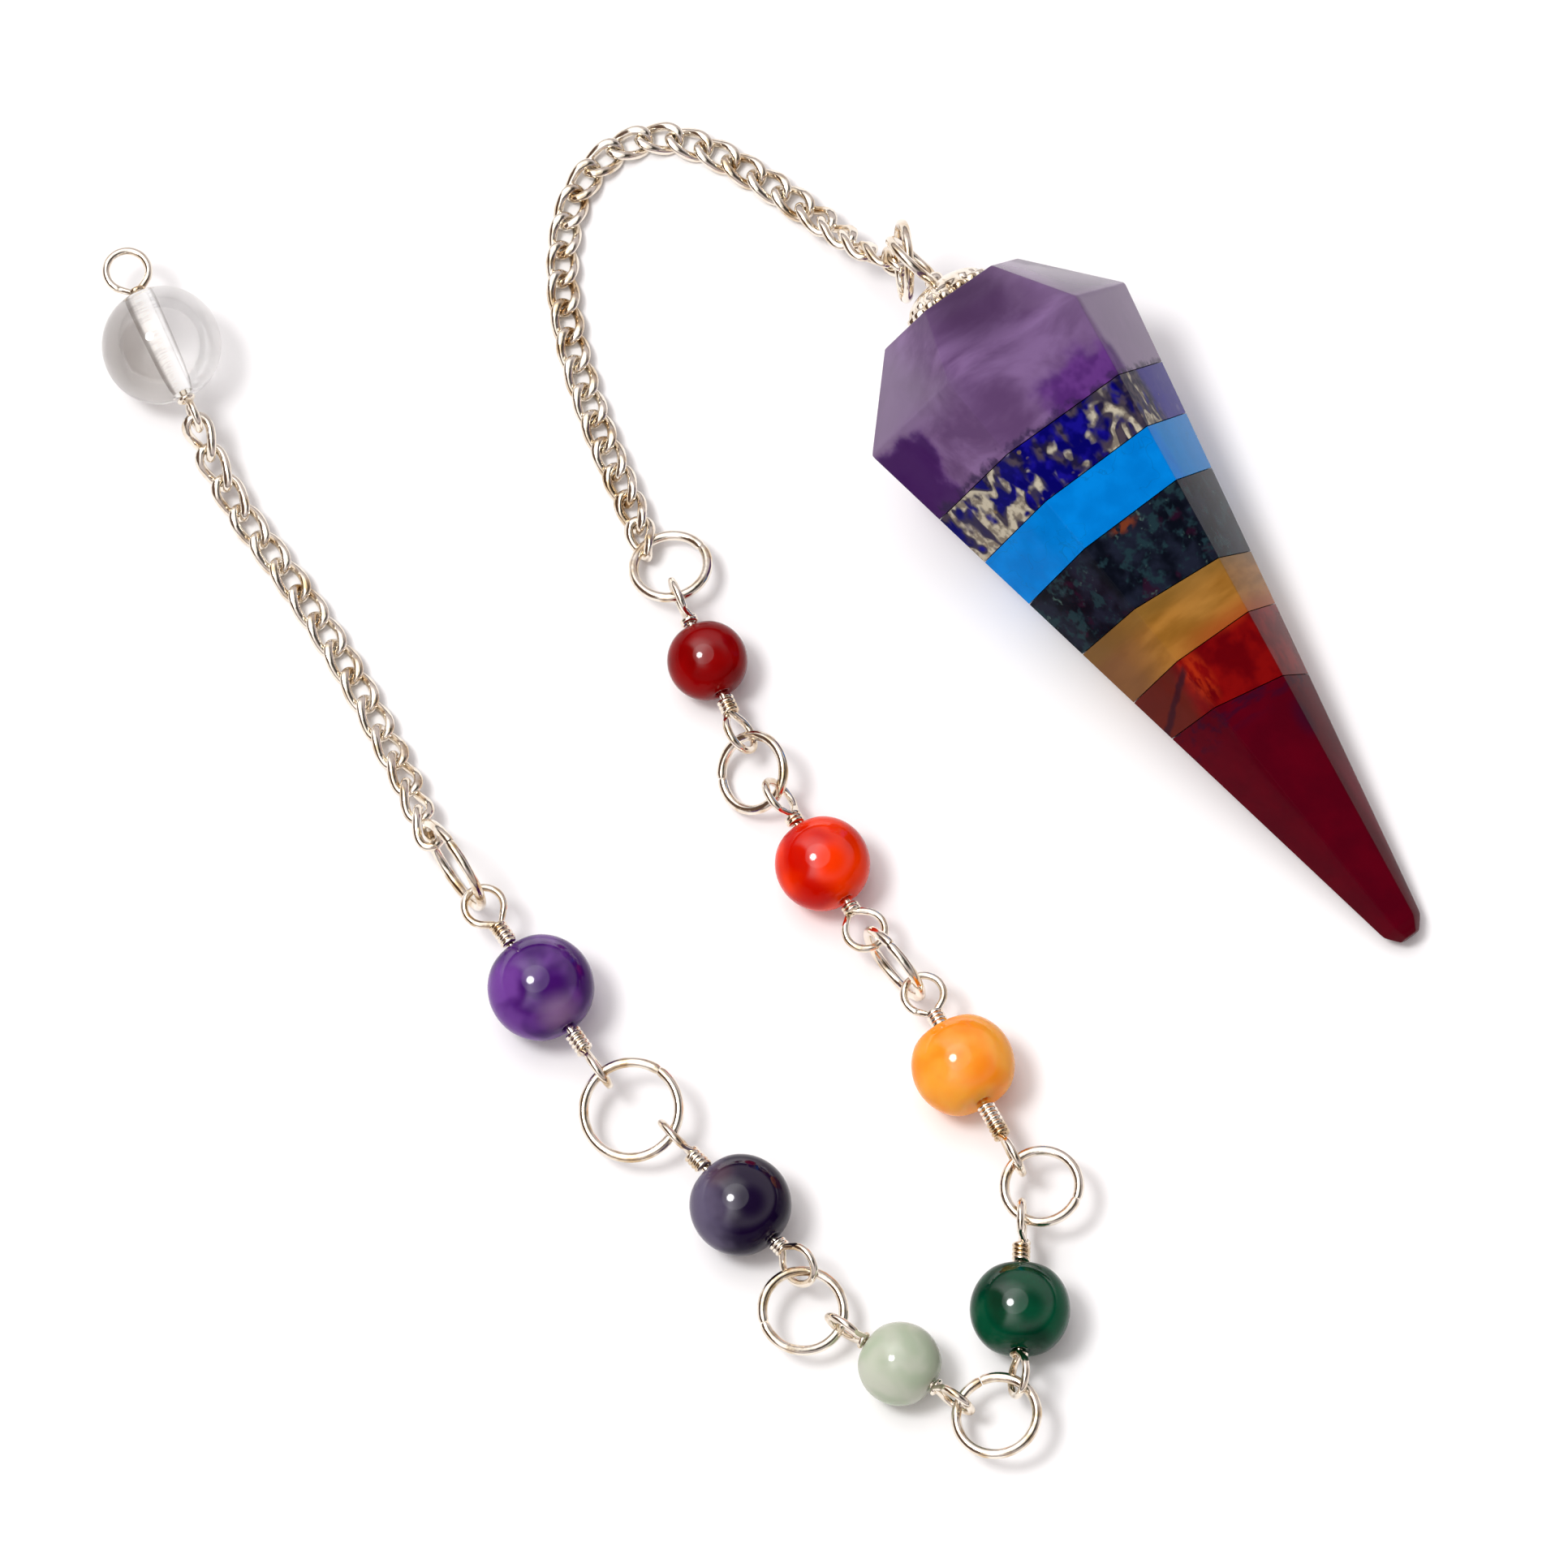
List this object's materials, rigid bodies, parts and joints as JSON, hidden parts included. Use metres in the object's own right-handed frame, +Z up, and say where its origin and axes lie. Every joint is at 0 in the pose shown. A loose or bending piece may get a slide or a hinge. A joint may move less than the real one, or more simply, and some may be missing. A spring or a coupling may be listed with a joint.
{
  "type": "gemstone pendulum",
  "caption": "Layered gemstone point with a bell cap, a fine chain, a string of round stone beads on linked pins, a second chain and a clear quartz ball.",
  "frame": {"origin": "on the table top, under the middle of the whole laid out pendulum", "axes": "+X to the right of the layout, +Y away from the viewer, +Z up from the table top"},
  "size_m": [0.0802, 0.087, 0.0163],
  "materials": {
    "amethyst": "polished milky purple quartz",
    "lapis": "polished blue stone with pale flecks",
    "turquoise": "polished bright blue composite stone",
    "moss_stone": "polished dark green stone",
    "yellow_stone": "polished golden stone",
    "red_carnelian": "polished orange red stone with dark cracks",
    "red_jasper": "polished maroon stone",
    "silver": "bright silver plate on brass",
    "bead_red": "polished opaque dark red",
    "bead_carnelian": "polished translucent red orange",
    "bead_orange": "polished milky orange",
    "bead_green": "polished translucent deep green",
    "bead_pale_green": "polished pale milky green",
    "bead_indigo": "polished dark indigo with a grey haze",
    "bead_violet": "polished mottled violet",
    "quartz": "polished clear quartz"
  },
  "bodies": {
    "root": {"amethyst_crown": "amethyst", "lapis_layer": "lapis", "turquoise_layer": "turquoise", "moss_layer": "moss_stone", "yellow_layer": "yellow_stone", "carnelian_layer": "red_carnelian", "jasper_tip": "red_jasper", "bell_cap": "silver", "cap_ring": "silver", "upper_chain": "silver", "jump_ring_1": "silver", "jump_ring_2": "silver", "jump_ring_3": "silver", "jump_ring_4": "silver", "jump_ring_5": "silver", "jump_ring_6": "silver", "jump_ring_7": "silver", "jump_ring_8": "silver", "bead_1": "bead_red", "bead_2": "bead_carnelian", "bead_3": "bead_orange", "bead_4": "bead_green", "bead_5": "bead_pale_green", "bead_6": "bead_indigo", "bead_7": "bead_violet", "eye_pin_1": "silver", "eye_pin_2": "silver", "eye_pin_3": "silver", "eye_pin_4": "silver", "eye_pin_5": "silver", "eye_pin_6": "silver", "eye_pin_7": "silver", "lower_chain": "silver", "quartz_ball": "quartz", "ball_pin": "silver"}
  },
  "joints": []
}
